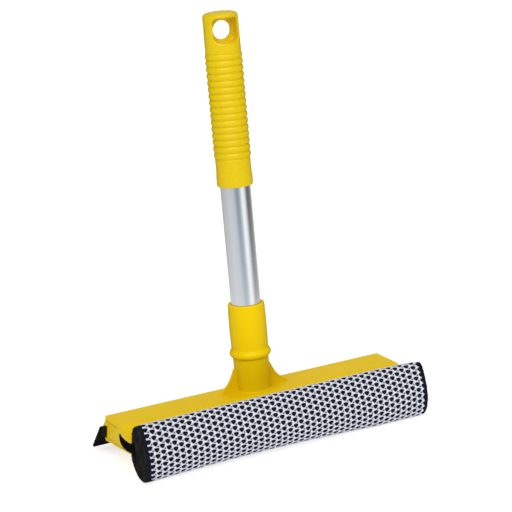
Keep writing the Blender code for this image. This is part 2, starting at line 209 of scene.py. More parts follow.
def filleted(corners):
    """Closed outline from (a, b, radius) corners, with every rounded corner drawn as an arc."""
    outline = []
    count = len(corners)
    for index, (a, b, radius) in enumerate(corners):
        corner = Vector((a, b))
        if radius == 0:
            outline.append(corner)
            continue
        before = (Vector(corners[index - 1][:2]) - corner).normalized()
        after = (Vector(corners[(index + 1) % count][:2]) - corner).normalized()
        half_angle = before.angle(after) / 2
        reach = radius / math.tan(half_angle)
        centre = corner + (before + after).normalized() * (radius / math.sin(half_angle))
        start = corner + before * reach - centre
        turn = start.angle_signed(corner + after * reach - centre)
        steps = max(2, math.ceil(abs(turn) / ARC_STEP))
        base = math.atan2(start.y, start.x)
        for k in range(steps + 1):
            angle = base - turn * k / steps
            outline.append(centre + radius * Vector((math.cos(angle), math.sin(angle))))
    return outline


def spline_point(p0, p1, p2, p3, t):
    """Point at t between p1 and p2 on the Catmull-Rom curve."""
    return 0.5 * (2 * p1 + (p2 - p0) * t + (2 * p0 - 5 * p1 + 4 * p2 - p3) * t * t
                  + (3 * p1 - p0 - 3 * p2 + p3) * t ** 3)


def smooth_loop(points, steps):
    """Closed curve through the points, with the given steps between neighbours."""
    count = len(points)
    loop = []
    for index in range(count):
        near = [Vector(points[(index + k - 1) % count]) for k in range(4)]
        loop += [spline_point(*near, step / steps) for step in range(steps)]
    return loop


def smooth_path(points, steps):
    """Open curve through the points, with its ends at the first and the last."""
    path = [Vector(p) for p in points]
    path = [path[0]] + path + [path[-1]]
    curve = []
    for index in range(len(path) - 3):
        curve += [spline_point(*path[index:index + 4], step / steps) for step in range(steps)]
    return curve + [path[-1]]


def resampled(points, spacing, closed=True):
    """Points a constant distance apart along a polyline."""
    line = list(points) + ([points[0]] if closed else [])
    lengths = [(b - a).length for a, b in zip(line, line[1:])]
    count = max(3, round(sum(lengths) / spacing))
    stations = [sum(lengths) * k / count for k in range(count if closed else count + 1)]
    result = []
    index, passed = 0, 0.0
    for station in stations:
        while index < len(lengths) - 1 and passed + lengths[index] < station:
            passed += lengths[index]
            index += 1
        share = (station - passed) / max(lengths[index], 1e-9)
        result.append(line[index].lerp(line[index + 1], share))
    return result


def signed_area(loop):
    return sum(a.x * b.y - b.x * a.y for a, b in zip(loop, loop[1:] + loop[:1])) / 2


def inset_loop(loop, distance):
    """The closed loop moved inwards by the distance, with its corners kept as corners."""
    side = 1 if signed_area(loop) > 0 else -1
    moved = []
    for index, point in enumerate(loop):
        before = (point - loop[index - 1]).normalized()
        after = (loop[(index + 1) % len(loop)] - point).normalized()
        normal = Vector((-before.y - after.y, before.x + after.x)).normalized() * side
        cosine = max(0.5, normal.dot(Vector((-after.y, after.x)) * side))
        moved.append(point + normal * (distance / cosine))
    return moved


# ---- Mesh helpers ----
def section_point(x, f, d):
    """World place, in metres, of a section point at x."""
    return Vector((x, REAR_Y - f, TOP_Z - d)) * MM


def handle_point(x, y, h):
    """World place, in metres, of a point given from the handle's axis and the head's top face."""
    return Vector((x, HANDLE_Y + y, TOP_Z + h)) * MM


def added(name, data):
    """Object with the data, linked to the scene."""
    obj = bpy.data.objects.new(name, data)
    bpy.context.scene.collection.objects.link(obj)
    return obj


def new_object(name, bm, sharp_angle=SHARP_ANGLE):
    """Object from a bmesh, with outward faces and smooth shading up to the sharp angle."""
    bmesh.ops.recalc_face_normals(bm, faces=bm.faces)
    mesh = bpy.data.meshes.new(name)
    bm.to_mesh(mesh)
    bm.free()
    mesh.shade_smooth()
    mesh.set_sharp_from_angle(angle=math.radians(sharp_angle))
    return added(name, mesh)


def lofted(name, rings, closed=False):
    """Solid through rings of world points; a ring of one point closes to a tip."""
    bm = bmesh.new()
    rows = [[bm.verts.new(p) for p in ring] for ring in rings]
    pairs = list(zip(rows, rows[1:])) + ([(rows[-1], rows[0])] if closed else [])
    for lower, upper in pairs:
        count = max(len(lower), len(upper))
        for k in range(count):
            after = (k + 1) % count
            corners = [lower[k % len(lower)], lower[after % len(lower)],
                       upper[after % len(upper)], upper[k % len(upper)]]
            bm.faces.new(list(dict.fromkeys(corners)))
    if not closed:
        for ring in (rows[0], rows[-1]):
            if len(ring) > 1:
                bm.faces.new(ring)
    return new_object(name, bm)


def rounded_ends(low, high, edge):
    """(place, inset) of the rings that round a prism's two ends."""
    quarter = [math.pi / 2 * k / EDGE_STEPS for k in range(EDGE_STEPS + 1)]
    first = [(low + edge * (1 - math.cos(a)), edge * (1 - math.sin(a))) for a in quarter]
    last = [(high - edge * (1 - math.cos(a)), edge * (1 - math.sin(a)))
            for a in reversed(quarter)]
    return first + last


def rounded_prism(name, outline, low, high, edge):
    """Solid along X from an (f, d) outline, with softly rounded ends."""
    return lofted(name, [[section_point(x, *p) for p in inset_loop(outline, inset)]
                         for x, inset in rounded_ends(low, high, edge)])


def rounded_plate(name, outline, low, high, edge):
    """Solid along Y from an (x, height) outline on the handle's axis, with rounded sides."""
    return lofted(name, [[handle_point(p.x, y, p.y) for p in inset_loop(outline, inset)]
                         for y, inset in rounded_ends(low, high, edge)])


def turned(name, profile, closed=False):
    """Solid turned about the handle's axis from (radius, height) points."""
    angles = [2 * math.pi * k / ROUND_SIDES for k in range(ROUND_SIDES)]
    rings = [[handle_point(r * math.cos(a), r * math.sin(a), h) for a in angles] if r > 0
             else [handle_point(0, 0, h)] for r, h in profile]
    return lofted(name, rings, closed)


def combine(target, tool, operation):
    """Applies a Boolean of the tool to the target and removes the tool."""
    modifier = target.modifiers.new(operation.lower(), "BOOLEAN")
    modifier.operation = operation
    modifier.solver = "EXACT"
    modifier.object = tool
    evaluated = target.evaluated_get(bpy.context.evaluated_depsgraph_get())
    mesh = bpy.data.meshes.new_from_object(evaluated)
    target.modifiers.clear()
    target.data = mesh
    bpy.data.objects.remove(tool, do_unlink=True)


def place_on_frame(obj, material, body, node):
    """The piece's material, the body it rides on and the CAD node it stands for."""
    obj.data.materials.clear()
    obj.data.materials.append(material)
    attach(obj, body)
    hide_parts(node)
    return obj


def finish_shell(obj, material, body, node):
    """Last shading of a hard piece, and its place on the frame."""
    obj.data.shade_smooth()
    obj.data.set_sharp_from_angle(angle=math.radians(SHARP_ANGLE))
    modifier = obj.modifiers.new("even_shading", "WEIGHTED_NORMAL")
    modifier.keep_sharp = True
    return place_on_frame(obj, material, body, node)


def arc(centre_r, centre_h, radius, start, end, step=10):
    """(radius, height) points on an arc, with its angles in degrees."""
    count = max(2, round(abs(end - start) / step))
    angles = [math.radians(start + (end - start) * k / count) for k in range(count + 1)]
    return [Vector((centre_r + radius * math.cos(a), centre_h + radius * math.sin(a)))
            for a in angles]


# ---- Thread ----
def thread_wave(angle, h):
    """1 on the crest of the right-hand helix and 0 in its root."""
    return 0.5 + 0.5 * math.cos(2 * math.pi * h / THREAD_PITCH - angle)


def stud_radius(angle, h):
    lead_in = ramp(h, FERRULE_LOW + 1.0, FERRULE_LOW + 3.5)
    run_out = ramp(h, COLLAR_FOOT - 1.5, COLLAR_FOOT - 3.5)
    tip = STUD_TIP * (1 - ramp(h, FERRULE_LOW, FERRULE_LOW + 1.0))
    return STUD_MINOR_RADIUS - tip + THREAD_DEPTH * thread_wave(angle, h) * lead_in * run_out


def bore_radius(angle, h):
    depth = THREAD_DEPTH * thread_wave(angle, h) * ramp(h, FERRULE_LOW - 0.5, FERRULE_LOW + 0.5)
    mouth = THREAD_DEPTH * ramp(h, SOCKET_HEIGHT - 1.8, SOCKET_HEIGHT - 0.2)
    return STUD_MINOR_RADIUS + THREAD_CLEARANCE + max(depth, mouth)


def threaded(name, radius_at, low, high):
    """Closed solid whose radius follows radius_at(angle, height)."""
    rows = math.ceil((high - low) / THREAD_PITCH * THREAD_ROWS)
    rings = []
    for row in range(rows + 1):
        h = low + (high - low) * row / rows
        ring = []
        for side in range(THREAD_SIDES):
            angle = 2 * math.pi * side / THREAD_SIDES
            r = radius_at(angle, h)
            ring.append(handle_point(r * math.cos(angle), r * math.sin(angle), h))
        rings.append(ring)
    return lofted(name, rings)


# ---- Head ----
def head_skin_outline():
    """Top plate with the front lip over the pad's slot and the rear lip over the blade."""
    return filleted([
        (0, 0, 0.8), (33.0, 0, 6), (39.5, 2.4, 4), (48, 4.6, 12), (55.2, 7.6, 0.5),
        (54.7, 8.9, 0.5), (50, 9.8, 4), (42, 9.8, 10), (34.8, 8.8, 4), (31.4, 6.9, 0.8),
        (28.2, 7.3, 0), (27.0, 6.0, 0), (26.0, SKIN, 0), (3.5, SKIN, 0), (2.0, 8.0, 0),
        (0.4, 9.1, 0), (-5.6, 10.4, 0.3), (-6.5, 11.2, 0.3), (-7.3, 10.2, 0.4), (-1.0, SKIN, 1.5)])


def head_box_outline():
    """The box under the skin, with the slot for the pad's strip and the jaw under the blade."""
    return filleted([
        (0.8, 2.0, 0), (29.6, 2.0, 0), (30.0, 6.2, 0), (28.75, 7.2, 0.5), (26.6, 10.5, 2.5),
        (27.4, 14.6, 3), (29.5, 17.2, 3), (34, 18.9, 4), (41.5, 19.3, 0), (51, 18.8, 0.3),
        (51.2, 20.3, 0.5), (-6.9, 24.3, 1.2), (-9.7, 22.6, 0.6), (-8.6, 20.2, 0.35),
        (-7.6, 20.9, 0.3), (-4.3, 20.3, 0.4), (-1.15, 9.0, 0), (0.8, 6.0, 0)])


def socket_profile():
    """Straight tube with a small fillet where it meets the top face."""
    rim = COLLAR_FOOT - SOCKET_GAP
    top = arc(SOCKET_RADIUS - SOCKET_RIM, rim - SOCKET_RIM, SOCKET_RIM, 90, 0, 18)
    foot = arc(SOCKET_RADIUS + SOCKET_FILLET, SOCKET_FILLET - 0.1, SOCKET_FILLET, 180, 270, 15)
    return ([Vector((0, rim))] + top + foot
            + [Vector((foot[-1].x, -SKIN / 2)), Vector((0, -SKIN / 2))])


def gusset_outline(side):
    """Concave web from the socket down to the top plate; side is -1 or +1 along X."""
    curve = smooth_path([(16.4, GUSSET_HEIGHT), (16.9, 19.2), (19.0, 14.6), (21.8, 9.6),
                         (26.2, 4.8), (32.3, 0.3)], 5)
    inside = [Vector((12.0, -SKIN / 2)), Vector((12.0, GUSSET_HEIGHT))]
    outline = inside + curve + [Vector((32.6, -SKIN / 2))]
    return [Vector((side * p.x, p.y)) for p in outline]


def pocket_tool(index):
    """Cutter for one open pocket under the head, with rounded upright corners."""
    low = HEAD_X[0] + BOX_INSET
    pitch = (HEAD_X[1] - HEAD_X[0] - 2 * BOX_INSET - POCKET_WALL) / POCKET_COUNT
    start = low + POCKET_WALL + index * pitch
    section = filleted([(1.6, SKIN, POCKET_CORNER), (23.8, SKIN, POCKET_CORNER),
                        (23.8, POCKET_FLOOR, 0), (-1.9, POCKET_FLOOR, 0), (-1.9, 16, 2)])
    end = start + pitch - POCKET_WALL
    return rounded_prism("pocket_tool", section, start, end, POCKET_CORNER)


def end_round_tool(end, side):
    """Cutter that rounds the top plate's edge at one end; side is -1 or +1 along X."""
    centre = end - side * END_ROUND
    section = [Vector((centre - side * 0.1, -1))]
    section += [Vector((centre + side * p.x, END_ROUND - p.y))
                for p in arc(0, 0, END_ROUND, 90, 0)]
    section += [Vector((end + side, END_ROUND)), Vector((end + side, -1))]
    return lofted("end_round_tool", [[section_point(p.x, f, p.y) for p in section]
                                     for f in END_ROUND_REACH])


def make_head(material):
    head = rounded_prism("head_shell", head_skin_outline(), *HEAD_X, HEAD_EDGE)
    box = rounded_prism("box_tool", head_box_outline(), HEAD_X[0] + BOX_INSET,
                        HEAD_X[1] - BOX_INSET, BOX_EDGE)
    combine(head, box, "UNION")
    line = [Vector(p) for p in LEDGE_SECTION]
    for end, side in zip(HEAD_X, (-1, 1)):
        depth = BOX_INSET + LEDGE_GROOVE
        groove = rounded_prism("groove_tool", line, end - depth, end + depth, 0.1)
        combine(head, groove, "DIFFERENCE")
        combine(head, end_round_tool(end, side), "DIFFERENCE")
    combine(head, turned("socket_tool", socket_profile()), "UNION")
    for side in (-1, 1):
        web = rounded_plate("web_tool", gusset_outline(side), -GUSSET_HALF, GUSSET_HALF,
                            GUSSET_EDGE)
        combine(head, web, "UNION")
    bore = threaded("bore_tool", bore_radius, SOCKET_FLOOR, SOCKET_HEIGHT + 1)
    combine(head, bore, "DIFFERENCE")
    for index in range(POCKET_COUNT):
        combine(head, pocket_tool(index), "DIFFERENCE")
    return finish_shell(head, material, "head", "head")


# ---- Rubber ----
def make_blade(material):
    """Wiper: a foot in the head's channel and a lip that tapers to the wiping edge."""
    outline = filleted([
        (-7.55, 10.95, 0.2), (-6.55, 11.75, 0.2), (-5.3, 10.8, 0.3), (-1.75, 9.95, 0.6),
        (-4.65, 19.75, 0.6), (-7.25, 20.35, 0.3), (-8.55, 19.55, 0.3), (-10.3, 21.4, 0.5),
        (-29.2, 35.2, 0.1), (-30.6, 33.8, 0.1)])
    blade = rounded_prism("wiper_blade", outline, *BLADE_X, RUBBER_EDGE)
    return finish_shell(blade, material, "blade", "blade")


def make_strip(material):
    """Hooked strip: a bead curled into the head's slot, a neck and a T-bar in the foam."""
    outline = filleted([
        (31.4, 7.35, 0.4), (34.6, 9.3, 3), (42, 10.25, 8), (50, 10.25, 3), (55.4, 10.0, 0),
        (60.0, 10.0, 0), (60.0, 7.4, 0.4), (62.6, 7.4, 0.4), (62.6, 22.9, 0.4), (60.0, 22.9, 0.4),
        (60.0, 18.3, 0), (51, 18.3, 0), (41.5, 18.9, 0), (34.2, 18.5, 4), (29.9, 16.8, 3),
        (27.85, 14.5, 3), (27.05, 10.7, 2.3), (29.1, 7.7, 0.5)])
    strip = rounded_prism("pad_hook_strip", outline, *STRIP_X, RUBBER_EDGE)
    return finish_shell(strip, material, "pad", "pad_strip")


# ---- Pad ----
def pressed(x, d):
    """Depth of a pad point: the underside lifts along its middle and the top's right end sags."""
    middle = (x - PAD_LIFT_X) / PAD_LIFT_REACH
    lift = PAD_LIFT * max(0.0, 1 - middle * middle) * smooth_step(ramp(d, 14, 38))
    droop = PAD_DROOP * ramp(x, 80, 129) ** 2 * smooth_step(ramp(d, 8, -11))
    return d - lift + droop


def slanted(x, d):
    """Place along the pad of a point at this depth; the right end isn't cut quite square."""
    return x + PAD_SLANT * ramp(x, 115, 129) * (PAD_CENTRE.y - d) / 25


def pad_point(x, f, d):
    """World place of a pad point, with the pad's bow, droop and slant."""
    return section_point(slanted(x, d), f, pressed(x, d))


def pad_loop():
    """The pad's outer section: a pear-shaped oval, flat where it stands on the surface."""
    loop = smooth_loop([
        (70.8, -10.5), (75.8, -7.6), (80.2, 0.8), (83.8, 9.5), (85.2, 18.5), (84.3, 27.2),
        (80.4, 34.0), (74.2, 37.3), (67.2, 36.9), (60.0, 33.7), (54.2, 27.7), (51.8, 20.5),
        (53.6, 13.0), (56.2, 5.8), (58.2, -1.6), (62.8, -7.3)], 16)
    return [Vector((p.x, min(p.y, TOP_Z))) for p in loop]


def open_at_neck(loop):
    """The loop cut open at the neck, as a path that starts above it and ends below it."""
    inside = [p.x < NECK_SIDE_F and NECK_TOP < p.y < NECK_LOW for p in loop]
    first = next(i for i in range(len(loop)) if inside[i - 1] and not inside[i])
    order = list(range(first, len(loop))) + list(range(first))
    return [loop[i] for i in order if not inside[i]]


def foam_outline():
    """Foam section with its T-slot, as in the frame, but up against the netting."""
    path = open_at_neck(inset_loop(pad_loop(), FOAM_UNDER_NET))
    path = resampled(path, FOAM_STEP, closed=False)
    slot = [(path[-1].x, 18.6), (59.7, 18.6), (59.7, 23.2), (62.9, 23.2), (62.9, 7.1), (59.7, 7.1),
            (59.7, 9.7), (path[0].x, 9.7)]
    return path, [Vector(p) for p in slot]


def foam_end(outline):
    """Triangles over the foam's cut end, and the points inside the outline that they use."""
    low = Vector((min(p.x for p in outline), min(p.y for p in outline)))
    high = Vector((max(p.x for p in outline), max(p.y for p in outline)))
    seeds = []
    for row in range(int((high.y - low.y) / FOAM_CELL) + 1):
        for column in range(int((high.x - low.x) / FOAM_CELL) + 1):
            seed = low + Vector((column + 0.5 * (row % 2), row)) * FOAM_CELL
            shift = noise.noise_vector(Vector((seed.x, seed.y, 3.7)))
            seed = seed + shift.xy * FOAM_JITTER
            if min((seed - p).length for p in outline) > FOAM_MARGIN:
                seeds.append(seed)
    edges = [(k, (k + 1) % len(outline)) for k in range(len(outline))]
    points, _, triangles, _, _, _ = geometry.delaunay_2d_cdt(
        list(outline) + seeds, edges, [list(range(len(outline)))], 1, 1e-5)
    return points, triangles


def make_foam(material):
    """Cut foam block: a soft outer skin, and pitted ends that bulge a little."""
    path, slot = foam_outline()
    outline = path + slot
    end_points, triangles = foam_end(outline)
    low, high = FOAM_X
    first, last = low + FOAM_EDGE, high - FOAM_EDGE
    spans = round((last - first) / FOAM_SPAN)
    stations = [(low, 1.0), (low + 0.25, 0.45), (first, 0.0)]
    stations += [(first + (last - first) * k / spans, 0.0) for k in range(1, spans)]
    stations += [(last, 0.0), (high - 0.25, 0.45), (high, 1.0)]
    bm = bmesh.new()
    rings = []
    for x, share in stations:
        ring = []
        for k, point in enumerate(inset_loop(outline, FOAM_ROUND * share)):
            if k < len(path):
                depth = FOAM_DENT * (1 + noise.noise(Vector((x, *point)) / 3))
                point = point + (PAD_CENTRE - point).normalized() * depth
            ring.append(bm.verts.new(pad_point(x, *point)))
        rings.append(ring)
    for a, b in zip(rings, rings[1:]):
        for k in range(len(outline)):
            after = (k + 1) % len(outline)
            bm.faces.new((a[k], a[after], b[after], b[k]))
    for ring, x, outward in ((rings[0], low, -1), (rings[-1], high, 1)):
        verts = list(ring)
        for point in end_points[len(outline):]:
            pit = noise.noise(Vector((point.x * 0.9, point.y * 0.9, x)))
            swell = Vector((outward * (0.18 + 0.32 * pit), 0, 0)) * MM
            verts.append(bm.verts.new(pad_point(x, *point) + swell))
        for triangle in triangles:
            bm.faces.new([verts[i] for i in triangle])
    foam = new_object("foam_pad", bm, 60)
    place_on_frame(foam, material, "pad", "pad_foam")


# ---- Netting ----
# Each mesh is one cell of a skewed lattice on the sleeve, in (x, s): s runs round the section.
NET_A = Vector((5.31, 2.5))
NET_B = Vector((0.0, 5.0))
NET_PHASE = Vector((6.6, 1.5))   # the first mesh, from the net's left edge and its upper edge
NET_THICKNESS = 0.55
NET_SPLIT = 2                    # points on each side of a cell
NET_RINGS = (0.0, 0.38, 1.0)     # from a mesh's rim to its cell's edge
NET_HOLE = (2.14, 1.85)          # half width and half height of a mesh
NET_SLIT = 1.1                   # the small gap at every other knot
NET_SLIT_RELIEF = 0.55           # height beside it, as a share of the yarn's
NET_DRIFT = 0.22
NET_RAGGED = 0.7                 # how far the cut ends wander
NET_SPARE = 30                   # columns and rows tried past the sleeve's edges
NET_HEM = (3.0, 2.4)             # how far a mesh's middle may pass an end, and must clear a side


class Contour:
    """The netting's path round the pad, by the distance along it."""

    def __init__(self):
        self.points = open_at_neck(pad_loop())
        self.lengths = [0.0]
        for a, b in zip(self.points, self.points[1:]):
            self.lengths.append(self.lengths[-1] + (b - a).length)
        self.length = self.lengths[-1]

    def place(self, x, s, height):
        """World place at x and s, and at the height above the foam."""
        s = min(max(s, 0.0), self.length)
        index = min(int(s / self.length * (len(self.points) - 1)), len(self.points) - 2)
        while index > 0 and self.lengths[index] > s:
            index -= 1
        while index < len(self.points) - 2 and self.lengths[index + 1] < s:
            index += 1
        a, b = self.points[index], self.points[index + 1]
        passed, step = self.lengths[index], self.lengths[index + 1] - self.lengths[index]
        share = (s - passed) / max(step, 1e-9)
        along = (b - a).normalized()
        inward = Vector((-along.y, along.x))
        if (PAD_CENTRE - a).dot(inward) < 0:
            inward = -inward
        return pad_point(x, *(a.lerp(b, share) + inward * (FOAM_UNDER_NET - height)))


def cell_corners():
    """A cell's six corners round its middle, the first of each pair at a knot with a slit."""
    near = [NET_A, NET_B, NET_B - NET_A, -NET_A, -NET_B, NET_A - NET_B]
    return [(near[k] + near[(k + 1) % 6]) / 3 for k in range(6)]


def cell_boundary():
    """(offset, relief) of the points round a cell; relief is low beside a slit."""
    corners = cell_corners()
    boundary = []
    for k, corner in enumerate(corners):
        after = corners[(k + 1) % 6]
        start = corner + (after - corner).normalized() * NET_SLIT if k % 2 == 0 else corner
        end = after + (corner - after).normalized() * NET_SLIT if k % 2 == 1 else after
        for step in range(NET_SPLIT):
            point = start.lerp(end, step / NET_SPLIT)
            slit_distance = min((point - c).length for c in corners[::2])
            rise = (1 - NET_SLIT_RELIEF) * ramp(slit_distance, 0.4, 1.9)
            boundary.append((point, NET_SLIT_RELIEF + rise))
        if k % 2 == 1:
            boundary.append((end, NET_SLIT_RELIEF))
    return boundary


def hole_point(direction):
    """Point on the rim of a mesh: an oval drawn out to three soft corners."""
    angle = math.atan2(direction.y, direction.x)
    swell = 1 - 0.13 * math.sin(3 * angle)
    return Vector((NET_HOLE[0] * math.cos(angle), NET_HOLE[1] * math.sin(angle))) * swell


def drift(point):
    """How far the knit wanders from its lattice at a point."""
    wander = noise.noise_vector(Vector((point.x / 9, point.y / 9, 1.3)))
    return wander.xy * NET_DRIFT


def make_net(material):
    """Knitted sleeve: every mesh is a hole in a raised lattice, cut ragged at both ends."""
    contour = Contour()
    boundary = cell_boundary()
    count = len(boundary)
    x_low, x_high = NET_X
    bm = bmesh.new()
    # the yarn's height at each point, which the material turns into painted shade in its low parts
    crest = bm.verts.layers.float.new("crest")
    index = {}
    top_verts = []

    def vertex(point, height):
        key = (round(point.x, 3), round(point.y, 3))
        if key not in index:
            moved = point + drift(point)
            top = bm.verts.new(contour.place(moved.x, moved.y, height * NET_THICKNESS))
            low = bm.verts.new(contour.place(moved.x, moved.y, 0.0))
            top[crest] = height
            low[crest] = 0.0
            index[key] = len(top_verts)
            top_verts.append((top, low))
        return index[key]

    span = contour.length
    end, side = NET_HEM
    reach = math.ceil((x_high - x_low) / NET_A.x) + NET_SPARE
    for i in range(-NET_SPARE, reach):
        for j in range(-reach, reach):
            middle = Vector((x_low, 0.0)) + NET_PHASE + NET_A * i + NET_B * j
            if not (x_low - end < middle.x < x_high + end and side < middle.y < span - side):
                continue
            rows = []
            for u in NET_RINGS:
                row = []
                for offset, relief in boundary:
                    rim = hole_point(offset)
                    height = relief * (0.3 + 0.7 * math.sqrt(1 - (1 - u) ** 2))
                    row.append((middle + rim.lerp(offset, u), height))
                rows.append(row)
            for inner, outer in zip(rows, rows[1:]):
                for k in range(count):
                    after = (k + 1) % count
                    corners = [inner[k], inner[after], outer[after], outer[k]]
                    place = sum((c[0] for c in corners), Vector((0, 0))) / 4
                    ragged = NET_RAGGED * noise.noise(Vector((place.y * 0.8, 5.1, i * 0.37)))
                    if x_low + ragged < place.x < x_high + ragged:
                        ids = [vertex(*c) for c in corners]
                        bm.faces.new([top_verts[k][0] for k in ids])
                        bm.faces.new([top_verts[k][1] for k in reversed(ids)])
    lower = {top: low for top, low in top_verts}
    rims = [edge for edge in bm.edges if edge.is_boundary and edge.verts[0] in lower]
    for edge in rims:
        loop = edge.link_loops[0]
        a, b = loop.vert, loop.link_loop_next.vert
        bm.faces.new((b, a, lower[a], lower[b]))
    net = new_object("net_sleeve", bm, 180)
    place_on_frame(net, material, "pad", "pad_net")


# ---- Handle ----
def make_ferrule(material):
    """End fitting: collar over the tube, spigot inside it, stop bead and threaded stud."""
    bead_h = COLLAR_FOOT + BEAD_SECTION
    bead_r = BEAD_RADIUS - BEAD_SECTION
    bore = TUBE_RADIUS + FIT
    core = STUD_MINOR_RADIUS - STUD_TIP
    rim = arc(14.35, FERRULE_TOP - 1.0, 1.0, 90, 0, 18)
    rim = [Vector((bore + 0.5, FERRULE_TOP))] + rim
    collar = smooth_path([(15.35, FERRULE_TOP - 1.0), (15.6, 66.5), (15.75, 59.0), (15.7, 46.0),
                          (15.55, 39.0), (15.55, WAIST_H)], 6)
    waist = arc(16.45, WAIST_H, 0.9, 180, 236, 14)
    bead = arc(bead_r, bead_h, BEAD_SECTION, 48, -86, 8)
    profile = [Vector(p) for p in (
        (0, FERRULE_SEAT - 3), (8.0, FERRULE_SEAT - 3), (8.0, SPIGOT_TOP), (10.3, SPIGOT_TOP),
        (11.1, SPIGOT_TOP - 0.8), (11.1, FERRULE_SEAT), (bore, FERRULE_SEAT),
        (bore, FERRULE_TOP - 0.5))]
    profile += rim + collar[1:] + waist[1:] + bead
    profile += [Vector((core, COLLAR_FOOT)), Vector((core, FERRULE_LOW + 3)),
                Vector((0, FERRULE_LOW + 3))]
    ferrule = turned("handle_ferrule", profile)
    stud = threaded("stud_tool", stud_radius, FERRULE_LOW, COLLAR_FOOT + 1)
    combine(ferrule, stud, "UNION")
    return finish_shell(ferrule, material, "handle", "ferrule")


def make_tube(material):
    """Drawn tube with broken edges at its two cut ends."""
    low, high = (z - TOP_Z for z in TUBE_Z)
    edge = TUBE_EDGE
    profile = [Vector(p) for p in (
        (TUBE_BORE + edge, high), (TUBE_RADIUS - edge, high), (TUBE_RADIUS, high - edge),
        (TUBE_RADIUS, low + edge), (TUBE_RADIUS - edge, low), (TUBE_BORE + edge, low),
        (TUBE_BORE, low + edge), (TUBE_BORE, high - edge))]
    tube = turned("handle_tube", profile, closed=True)
    return finish_shell(tube, material, "handle_lift", "tube")


def grip_profile():
    """Domed cap, ribs and bottom rim, then the bore."""
    bore = TUBE_RADIUS + FIT
    dome = smooth_path([(0.01, GRIP_TOP), (5.0, GRIP_TOP - 0.15), (10.0, GRIP_TOP - 0.75),
                        (12.5, GRIP_TOP - 1.4), (13.7, GRIP_TOP - 2.2), (14.25, GRIP_TOP - 3.4),
                        (CAP_RADIUS, GRIP_TOP - 5.4), (CAP_RADIUS + 0.05, 306.0),
                        (CAP_RADIUS + 0.15, 295.0), (CAP_RADIUS + 0.2, RIB_HIGH + 0.9),
                        (GROOVE_RADIUS, RIB_HIGH)], 6)
    pitch = (RIB_HIGH - RIB_LOW) / RIB_COUNT
    ribs = []
    for index in range(1, RIB_COUNT * POINTS_PER_RIB + 1):
        phase = index / POINTS_PER_RIB
        swell = abs(math.sin(math.pi * phase)) ** RIB_ROUNDNESS
        ribs.append(Vector((GROOVE_RADIUS + (RIB_RADIUS - GROOVE_RADIUS) * swell,
                            RIB_HIGH - pitch * phase)))
    skirt = smooth_path([(CAP_RADIUS + 0.15, RIB_LOW - 0.8), (14.45, 192.0), (14.6, 187.0),
                         (14.8, 183.5), (14.9, 180.0), (14.9, SKIRT_LOW + SKIRT_ROUND)], 5)
    rim = arc(14.9 - SKIRT_ROUND, SKIRT_LOW + SKIRT_ROUND, SKIRT_ROUND, 0, -90, 18)
    inside = [(bore + 0.4, SKIRT_LOW), (bore, SKIRT_LOW + 0.4), (bore, BORE_TOP), (0, BORE_TOP)]
    return ([Vector((0, GRIP_TOP))] + dome[1:] + ribs + skirt + rim[1:]
            + [Vector(p) for p in inside])


def cap_radius_at(h):
    """Outer radius of the cap round its recess."""
    shoulder = ramp(h, GRIP_TOP - 5.2, GRIP_TOP)
    return CAP_RADIUS + 0.2 * ramp(h, 306.0, 286.0) - 1.9 * shoulder ** 2


def grip_point(x, y, h):
    """World place of a point of a recess or the hole, turned with the grip about its axis."""
    c, n = math.cos(GRIP_TURN), math.sin(GRIP_TURN)
    return handle_point(c * x - n * y, n * x + c * y, h)


def recess_tool(side):
    """Cutter with a rounded lip and a filleted floor; side is -1 at the front and +1 behind."""
    outline = resampled(filleted(RECESS), RECESS_STEP)
    rings = [[grip_point(p.x, side * (CAP_RADIUS + 2.0), p.y)
              for p in inset_loop(outline, -RECESS_LIP - 0.4)]]
    for a in map(math.radians, (14, 30, 46, 62, 76, 90)):
        grow, depth = RECESS_LIP * (1 - math.sin(a)), RECESS_LIP * (1 - math.cos(a))
        ring = []
        for p in inset_loop(outline, -grow):
            y = math.sqrt(max(cap_radius_at(p.y) ** 2 - p.x ** 2, 1.0)) - depth
            ring.append(grip_point(p.x, side * y, p.y))
        rings.append(ring)
    for a in map(math.radians, (0, 22, 45, 68, 90)):
        shrink = RECESS_FILLET * (1 - math.cos(a))
        y = WEB_HALF + RECESS_FILLET * (1 - math.sin(a))
        rings.append([grip_point(p.x, side * y, p.y) for p in inset_loop(outline, shrink)])
    return lofted("recess_tool", rings)


def hole_tool():
    """Round cutter for the hang hole that flares at both faces of the web."""
    stations = [(-WEB_HALF - 0.6, HOLE_FLARE + 0.35)]
    for a in map(math.radians, (75, 50, 25, 0)):
        stations.append((-WEB_HALF + HOLE_FLARE * (1 - math.sin(a)),
                         HOLE_FLARE * (1 - math.cos(a))))
    stations += [(-y, grow) for y, grow in reversed(stations)]
    angles = [2 * math.pi * k / HOLE_SIDES for k in range(HOLE_SIDES)]
    rings = [[grip_point((HOLE_RADIUS + grow) * math.cos(a), y,
                         HOLE_HEIGHT + (HOLE_RADIUS + grow) * math.sin(a)) for a in angles]
             for y, grow in stations]
    return lofted("hole_tool", rings)


def make_grip(material):
    grip = turned("handle_grip", grip_profile())
    for side in (-1, 1):
        combine(grip, recess_tool(side), "DIFFERENCE")
    combine(grip, hole_tool(), "DIFFERENCE")
    return finish_shell(grip, material, "handle", "grip")


